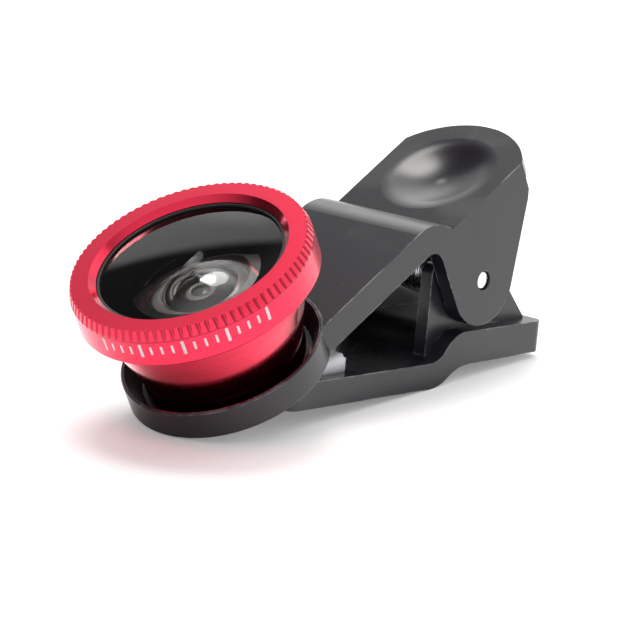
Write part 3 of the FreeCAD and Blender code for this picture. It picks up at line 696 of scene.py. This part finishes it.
class CLIPLENS_OT_arms(bpy.types.Operator):
    """Gives both arms polished black plastic and softly rounded moulded edges"""

    bl_idname = "cliplens.arms"
    bl_label = "Finish Arms"

    def execute(self, context):
        finish, sizes = settings()
        plastic = polished_plastic(finish)
        for name in ("upper_arm", "lower_arm"):
            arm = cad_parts[name]
            paint(arm, plastic)
            soften(arm, sizes.edge_round)
        return {"FINISHED"}


class CLIPLENS_OT_shell(bpy.types.Operator):
    """Gives the lens's shell its red anodised skin with turning lines"""

    bl_idname = "cliplens.shell"
    bl_label = "Finish Lens Shell"

    def execute(self, context):
        finish, sizes = settings()
        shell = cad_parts["lens_shell"]
        paint(shell, red_anodised(finish))
        soften(shell, sizes.metal_edge, angle=20.0, segments=2)
        return {"FINISHED"}


class CLIPLENS_OT_cells(bpy.types.Operator):
    """Gives the rings, spacer, stop and cells inside the lens their satin black skin"""

    bl_idname = "cliplens.cells"
    bl_label = "Finish Rings and Cells"

    def execute(self, context):
        black = black_anodised()
        for name in (
            "front_retaining_ring",
            "middle_spacer",
            "inner_cell",
            "aperture_stop",
            "rear_cell",
            "rear_retaining_ring",
        ):
            paint(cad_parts[name], black)
        return {"FINISHED"}


class CLIPLENS_OT_glass(bpy.types.Operator):
    """Gives the four glass elements clear polished glass"""

    bl_idname = "cliplens.glass"
    bl_label = "Finish Glass"

    def execute(self, context):
        crown = polished_glass("crown glass", (0.985, 0.99, 0.985), 1.52)
        flint = polished_glass("flint glass", (0.99, 0.98, 0.975), 1.75)
        for name, material in (
            ("front_element", crown),
            ("middle_element", flint),
            ("rear_doublet_front", crown),
            ("rear_doublet_back", flint),
        ):
            paint(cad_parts[name], material)
        return {"FINISHED"}


class CLIPLENS_OT_blacking(bpy.types.Operator):
    """Adds the black lacquer round the front glass's edge, seat and rear annulus"""

    bl_idname = "cliplens.blacking"
    bl_label = "Add Edge Blacking"

    def execute(self, context):
        # A thin skin over the glass's stepped rim, as (radius, height) in millimetres
        outside = [(7.40, 10.79), (9.21, 10.79), (9.21, 13.49), (11.08, 13.49), (11.08, 15.74)]
        inside = [(11.03, 15.74), (11.03, 13.55), (9.16, 13.55), (9.16, 10.85), (7.42, 10.85)]
        lacquer = lathe("edge_blacking", outside + inside, UPPER)
        paint(lacquer, black_lacquer())
        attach(lacquer, "lens")
        return {"FINISHED"}


class CLIPLENS_OT_collars(bpy.types.Operator):
    """Adds the bare satin collars under the middle glass and on the stop's boss"""

    bl_idname = "cliplens.collars"
    bl_label = "Add Inner Collars"

    def execute(self, context):
        satin = satin_collar()
        # Each collar's radii and levels, in millimetres
        for name, inner, outer, low, high in (
            ("glass_collar", 4.26, 6.03, 8.50, 8.54),
            ("stop_collar", 1.36, 2.16, 8.29, 8.33),
        ):
            profile = [(inner, low), (outer, low), (outer, high), (inner, high)]
            collar = lathe(name, profile, UPPER)
            paint(collar, satin)
            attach(collar, "lens")
        return {"FINISHED"}


class CLIPLENS_OT_pin(bpy.types.Operator):
    """Gives the hinge pin bright turned steel"""

    bl_idname = "cliplens.pin"
    bl_label = "Finish Hinge Pin"

    def execute(self, context):
        steel = bare_steel("turned steel", (0.93, 0.925, 0.91), 0.16, 0.28)
        paint(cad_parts["hinge_pin"], steel)
        return {"FINISHED"}


class CLIPLENS_OT_ring_rubber(bpy.types.Operator):
    """Adds the rubber ring under the clip ring, with rounded lips and a shallow middle groove"""

    bl_idname = "cliplens.ring_rubber"
    bl_label = "Add Ring Rubber"

    def execute(self, context):
        finish, _ = settings()
        inner, outer, underside, top, corner = 8.7, 11.4, -0.25, 0.35, 0.16
        groove = 10.05
        shaped = []
        for r, z in rounded_section((inner, underside), (outer, top), corner):
            if z < 0:
                z += 0.06 * math.exp(-(((r - groove) / 0.45) ** 2))
            shaped.append((r, z))
        # The groove needs points of its own along the flat underside
        under = []
        for k in range(24):
            r = 8.9 + 0.1 * k
            under.append((r, underside + 0.08 * math.exp(-(((r - groove) / 0.4) ** 2))))
        # They go between the underside's inner and outer corner
        cut = 0
        for index, (r, z) in enumerate(shaped):
            if z < -0.2 and r < 10 and shaped[(index + 1) % len(shaped)][0] > 10:
                cut = index + 1
        shaped[cut:cut] = under
        ring = lathe("ring_rubber", shaped, UPPER)
        paint(ring, matt_rubber(finish))
        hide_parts("ring_pad")
        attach(ring, "upper_arm")
        return {"FINISHED"}


class CLIPLENS_OT_cushion(bpy.types.Operator):
    """Adds the soft silicone wedge on the lower jaw, crowned and with rolled edges"""

    bl_idname = "cliplens.cushion"
    bl_label = "Add Jaw Cushion"

    def execute(self, context):
        finish, _ = settings()
        front, back, half = 3.0, 12.3, 7.0
        front_level, rise, crown, foot = 0.93, 1.68, 0.06, -0.04
        roll, drop = 0.7, 0.62
        across, along = 40, 32
        mesh = bpy.data.meshes.new("jaw_cushion")
        tool = bmesh.new()
        top = []
        for i in range(along + 1):
            u = i / along
            row = []
            for j in range(across + 1):
                v = j / across * 2 - 1
                edges = (min(u, 1 - u) * (back - front), (1 - abs(v)) * half)
                # The top rolls down near each edge, along a quarter circle
                rolled = max(
                    1 - math.sqrt(max(0.0, 1 - min(1.0, (roll - min(edge, roll)) / roll) ** 2))
                    for edge in edges
                )
                z = front_level + rise * u + crown * (1 - v * v) - drop * rolled
                x = front + (back - front) * u
                row.append(tool.verts.new((x * MM, v * half * MM, z * MM)))
            top.append(row)
        for i in range(along):
            for j in range(across):
                tool.faces.new((top[i][j], top[i + 1][j], top[i + 1][j + 1], top[i][j + 1]))
        rim = [top[0][j] for j in range(across)]
        rim += [top[i][across] for i in range(along)]
        rim += [top[along][j] for j in range(across, 0, -1)]
        rim += [top[i][0] for i in range(along, 0, -1)]
        low = [tool.verts.new((v.co.x, v.co.y, foot * MM)) for v in rim]
        for k in range(len(rim)):
            nxt = (k + 1) % len(rim)
            tool.faces.new((rim[k], rim[nxt], low[nxt], low[k]))
        tool.faces.new(low)
        bmesh.ops.recalc_face_normals(tool, faces=tool.faces)
        tool.to_mesh(mesh)
        tool.free()
        cushion = add_mesh("jaw_cushion", mesh, LOWER)
        paint(cushion, pale_silicone(finish))
        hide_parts("jaw_pad")
        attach(cushion, "lower_arm")
        return {"FINISHED"}


class CLIPLENS_OT_spring(bpy.types.Operator):
    """Adds the wire spring round the pin, which winds up as the jaw opens"""

    bl_idname = "cliplens.spring"
    bl_label = "Add Spring"

    def execute(self, context):
        _, sizes = settings()
        reach = sizes.coil / MM
        clear = sizes.wire / MM + 0.03
        closed = math.radians(JAW_ANGLE)
        pin = Vector(
            (
                math.cos(closed) * PIN.x - math.sin(closed) * PIN.z,
                0,
                math.sin(closed) * PIN.x + math.cos(closed) * PIN.z,
            )
        )
        # Both legs' tips, seen from the pin: one on the grip and one under the thumb pad
        low = Vector((42.4, 0, 3.7 + clear)) - pin
        high = Matrix.Rotation(-closed, 3, "Y") @ Vector((43.0, 0, -2.2 - clear)) - pin
        leave_low = math.atan2(low.z, low.x) - math.acos(reach / low.length)
        leave_high = math.atan2(high.z, high.x) + math.acos(reach / high.length)
        turns, pitch, steps = 5, 1.0, 260
        sweep = leave_high - leave_low - 2 * math.pi * turns
        half = abs(sweep) / (2 * math.pi) * pitch / 2
        path = [pin + Vector((low.x, half, low.z))]
        for k in range(steps + 1):
            angle = leave_low + sweep * k / steps
            y = half - 2 * half * k / steps
            path.append(pin + Vector((reach * math.cos(angle), y, reach * math.sin(angle))))
        path.append(pin + Vector((high.x, -half, high.z)))
        # The straight legs get points of their own, so that they bend smoothly
        parts = 12
        filled = [path[0] + (path[1] - path[0]) * (k / parts) for k in range(parts)]
        filled += path[1:-1]
        filled += [path[-2] + (path[-1] - path[-2]) * (k / parts) for k in range(1, parts + 1)]
        placed = [LOWER @ (point * MM) for point in filled]
        spring = tube("spring_wire", placed, sizes.wire)
        paint(spring, bare_steel("spring steel", (0.62, 0.62, 0.64), 0.18, 0.30))
        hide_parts("torsion_spring")
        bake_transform(spring)
        return {"FINISHED"}


class CLIPLENS_OT_band_marks(bpy.types.Operator):
    """Adds plain printed marks along the band, long and short by turns"""

    bl_idname = "cliplens.band_marks"
    bl_label = "Add Band Marks"

    def execute(self, context):
        finish, sizes = settings()
        mesh = bpy.data.meshes.new("band_marks")
        tool = bmesh.new()
        middle = math.radians(-144.0)
        band_radius, height = 14.4, 14.55
        long_mark, short_mark = (0.36, 1.75), (0.28, 1.05)
        for k in range(sizes.mark_count):
            place = middle + (k - (sizes.mark_count - 1) / 2) * sizes.mark_step
            width, tall = long_mark if k % 4 == 0 else short_mark
            self.mark(tool, place, band_radius, height, width, tall)
        bmesh.ops.recalc_face_normals(tool, faces=tool.faces)
        tool.to_mesh(mesh)
        tool.free()
        marks = add_mesh("band_marks", mesh, UPPER)
        paint(marks, print_ink(finish))
        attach(marks, "lens")
        return {"FINISHED"}

    def mark(self, tool, angle, radius, height, width, tall):
        """One raised strip of ink, curved with the band and rounded at its corners."""
        corner = (width / 2, tall / 2)
        outline = rounded_section((-width / 2, -tall / 2), corner, width * 0.3, 3)
        foot, top = -0.02, 0.018
        levels = []
        for lift in (foot, top):
            loop = []
            for across, up in outline:
                turn = angle + across / radius
                r = (radius + lift) * MM
                spot = (r * math.cos(turn), r * math.sin(turn), (height + up) * MM)
                loop.append(tool.verts.new(spot))
            levels.append(loop)
        count = len(outline)
        for k in range(count):
            nxt = (k + 1) % count
            tool.faces.new((levels[0][k], levels[0][nxt], levels[1][nxt], levels[1][k]))
        tool.faces.new(levels[1])
        tool.faces.new(list(reversed(levels[0])))


class CLIPLENS_OT_stage(bpy.types.Operator):
    """Sets the pale floor, the softbox and the camera"""

    bl_idname = "cliplens.stage"
    bl_label = "Set Stage"

    def execute(self, context):
        stage = context.scene.clip_lens_stage
        self.world(context, stage)
        self.floor(stage)
        self.softbox(stage)
        self.camera(context)
        context.scene.view_settings.view_transform = "Standard"
        return {"FINISHED"}

    def world(self, context, stage):
        """A room that reflections and light rays see, and a white backdrop for the camera."""
        world = bpy.data.worlds.new("studio")
        world.use_nodes = True
        context.scene.world = world
        n = Nodes(world.node_tree)
        surround = world.node_tree.nodes["Background"]
        surround.inputs["Color"].default_value = WHITE
        toward = n.add("ShaderNodeTexCoord", (-1300, 100)).outputs["Generated"]
        # From the front round to the dark gap behind the lens
        gap = n.ramp(self.share(n, toward, stage.gap_way), -0.75, 0.35)
        room = n.ramp(gap, 0, 1, stage.front_level, stage.gap_level, smooth=False)
        # The wall ends at a plane. It has a window, and its foot is brighter.
        wall = n.ramp(self.share(n, toward, stage.wall_way), -0.02, 0.02)
        window = n.ramp(self.share(n, toward, stage.window_way), 0.952, 0.988)
        parts = n.add("ShaderNodeSeparateXYZ", (-1000, -300))
        n.join(toward, parts.inputs[0])
        sill = n.ramp(parts.outputs["Z"], 0.12, 0.34, stage.sill_level, 0.0)
        bright = n.math("ADD", n.math("MULTIPLY", window, stage.window_level), stage.wall_level)
        bright = n.math("ADD", bright, sill)
        glow = n.ramp(self.share(n, toward, stage.glow_way), 0.84, 0.99, 0.0, stage.glow_level)
        shade = n.math("MULTIPLY", room, n.math("SUBTRACT", 1.0, wall))
        level = n.math("ADD", shade, n.math("MULTIPLY", bright, wall))
        n.join(n.math("ADD", level, glow), surround.inputs["Strength"])
        backdrop = n.add("ShaderNodeBackground", (0, -200))
        backdrop.inputs["Color"].default_value = WHITE
        path = n.add("ShaderNodeLightPath", (-400, 200))
        mixed = n.mix(path.outputs["Is Camera Ray"], surround.outputs[0], backdrop.outputs[0])
        n.join(mixed, world.node_tree.nodes["World Output"].inputs["Surface"])

    def share(self, n, toward, way):
        """How far a direction points the given way, from -1 to 1."""
        node = n.add("ShaderNodeVectorMath", (-1000, 100), operation="DOT_PRODUCT")
        node.inputs[1].default_value = Vector(way).normalized()
        n.join(toward, node.inputs[0])
        return node.outputs["Value"]

    def floor(self, stage):
        """White paper that glows, less so in an oval under the clip: a painted shadow on top of the
        real one.
        """
        half = stage.floor_size / 2
        mesh = bpy.data.meshes.new("floor")
        corners = [(-half, -half, 0), (half, -half, 0), (half, half, 0), (-half, half, 0)]
        mesh.from_pydata(corners, [], [(0, 1, 2, 3)])
        floor = bpy.data.objects.new("floor", mesh)
        bpy.context.scene.collection.objects.link(floor)
        made, n, shader = new_material("pale floor")
        shader.inputs["Base Color"].default_value = (0.86, 0.86, 0.86, 1)
        shader.inputs["Roughness"].default_value = 0.7
        shader.inputs["Specular IOR Level"].default_value = 0.2
        glow = n.add("ShaderNodeEmission", (0, -300))
        glow.inputs["Color"].default_value = (1.0, 0.985, 1.0, 1)
        path = n.add("ShaderNodeLightPath", (-800, 300))
        viewed = path.outputs["Is Camera Ray"]
        mirrored = n.math(
            "MAXIMUM", path.outputs["Is Glossy Ray"], path.outputs["Is Transmission Ray"]
        )
        # One at the edge of an oval as long and wide as the clip's foot, inside which the glow is
        # dimmed as a painted shadow
        place = n.add("ShaderNodeTexCoord", (-1200, -300))
        shadow_oval = n.add("ShaderNodeVectorMath", (-1000, -300), operation="MULTIPLY")
        shadow_oval.inputs[1].default_value = (1 / (34 * MM), 1 / (14 * MM), 0)
        n.join(place.outputs["Object"], shadow_oval.inputs[0])
        reach = n.add("ShaderNodeVectorMath", (-800, -300), operation="LENGTH")
        n.join(shadow_oval.outputs[0], reach.inputs[0])
        # Painted shadow: the glow that the camera and reflections see is lower near the clip
        seen = n.ramp(reach.outputs["Value"], 0.7, 2.0, 0.22, 0.34)
        met = n.ramp(reach.outputs["Value"], 0.7, 1.3, 0.0, 0.60)
        shown = n.math("ADD", n.math("MULTIPLY", viewed, seen), n.math("MULTIPLY", mirrored, met))
        n.join(shown, glow.inputs["Strength"])
        paper = n.add("ShaderNodeAddShader", (200, 0))
        n.join(shader.outputs[0], paper.inputs[0])
        n.join(glow.outputs[0], paper.inputs[1])
        # A camera below the floor sees through it
        shape = n.add("ShaderNodeNewGeometry", (-200, 300))
        under = n.math("MULTIPLY", viewed, shape.outputs["Backfacing"])
        clear = n.add("ShaderNodeBsdfTransparent", (200, -200))
        mixed = n.mix(under, paper.outputs[0], clear.outputs[0])
        n.join(mixed, made.node_tree.nodes["Material Output"].inputs["Surface"])
        paint(floor, made)

    def softbox(self, stage):
        """An eight sided softbox overhead, which only reflections and light rays see."""
        way = Vector(stage.softbox_way).normalized()
        turn = (-way).to_track_quat("-Z", "Y").to_matrix().to_4x4()
        place = Matrix.Translation(way * stage.softbox_distance) @ turn
        half_length, half_width, sides = 0.125, 0.145, 8
        corners = []
        for k in range(sides):
            angle = math.radians(22.5 + 45 * k)
            corner = (half_length * math.cos(angle), half_width * math.sin(angle), 0)
            corners.append(place @ Vector(corner))
        mesh = bpy.data.meshes.new("softbox")
        mesh.from_pydata(corners, [], [tuple(range(sides))])
        softbox = bpy.data.objects.new("softbox", mesh)
        bpy.context.scene.collection.objects.link(softbox)
        softbox.visible_camera = False
        softbox.visible_shadow = False
        made, _, shader = new_material("softbox cloth")
        shader.inputs["Base Color"].default_value = (0, 0, 0, 1)
        shader.inputs["Emission Color"].default_value = (1.0, 0.985, 0.96, 1)
        shader.inputs["Emission Strength"].default_value = stage.key_level
        paint(softbox, made)

    def camera(self, context):
        """The camera fitted to the photo, placed in the upper arm's frame."""
        lens = bpy.data.cameras.new("camera")
        lens.lens = 196.875
        lens.sensor_width = 36.0
        lens.clip_start = 0.01
        lens.clip_end = 20.0
        eye = bpy.data.objects.new("camera", lens)
        right = Vector((0.65967, -0.75100, 0.02915))
        up = Vector((0.18085, 0.19626, 0.96374))
        back = Vector((-0.72948, -0.63046, 0.26529))
        turn = Matrix((right, up, back)).transposed().to_4x4()
        place = UPPER @ (Vector((-208.966, -261.639, 227.129)) * MM)
        eye.matrix_world = Matrix.Translation(place) @ turn
        context.scene.collection.objects.link(eye)
        context.scene.camera = eye


class CLIPLENS_PT_panel(bpy.types.Panel):
    """Lists the pieces and the settings of the clip on lens"""

    bl_idname = "CLIPLENS_PT_panel"
    bl_label = "Clip On Phone Lens"
    bl_space_type = "VIEW_3D"
    bl_region_type = "UI"
    bl_category = "Clip Lens"

    def draw(self, context):
        layout = self.layout
        for group in ("clip_lens_finish", "clip_lens_sizes", "clip_lens_stage"):
            box = layout.box()
            values = getattr(context.scene, group)
            for name in values.__annotations__:
                box.prop(values, name)
        column = layout.column(align=True)
        for piece in PIECES:
            column.operator(piece.bl_idname)


PIECES = (
    CLIPLENS_OT_arms,
    CLIPLENS_OT_shell,
    CLIPLENS_OT_cells,
    CLIPLENS_OT_glass,
    CLIPLENS_OT_blacking,
    CLIPLENS_OT_collars,
    CLIPLENS_OT_pin,
    CLIPLENS_OT_ring_rubber,
    CLIPLENS_OT_cushion,
    CLIPLENS_OT_spring,
    CLIPLENS_OT_band_marks,
    CLIPLENS_OT_stage,
)
CLASSES = (ClipLensFinish, ClipLensSizes, ClipLensStage, *PIECES, CLIPLENS_PT_panel)


def register():
    for piece in CLASSES:
        bpy.utils.register_class(piece)
    bpy.types.Scene.clip_lens_finish = PointerProperty(type=ClipLensFinish)
    bpy.types.Scene.clip_lens_sizes = PointerProperty(type=ClipLensSizes)
    bpy.types.Scene.clip_lens_stage = PointerProperty(type=ClipLensStage)


def unregister():
    del bpy.types.Scene.clip_lens_stage
    del bpy.types.Scene.clip_lens_sizes
    del bpy.types.Scene.clip_lens_finish
    for piece in reversed(CLASSES):
        bpy.utils.unregister_class(piece)


def main():
    register()
    bpy.ops.cliplens.stage()
    bpy.ops.cliplens.arms()
    bpy.ops.cliplens.shell()
    bpy.ops.cliplens.cells()
    bpy.ops.cliplens.glass()
    bpy.ops.cliplens.blacking()
    bpy.ops.cliplens.collars()
    bpy.ops.cliplens.pin()
    bpy.ops.cliplens.ring_rubber()
    bpy.ops.cliplens.cushion()
    bpy.ops.cliplens.spring()
    bpy.ops.cliplens.band_marks()
    bpy.context.view_layer.update()


if __name__ == "__main__":
    main()
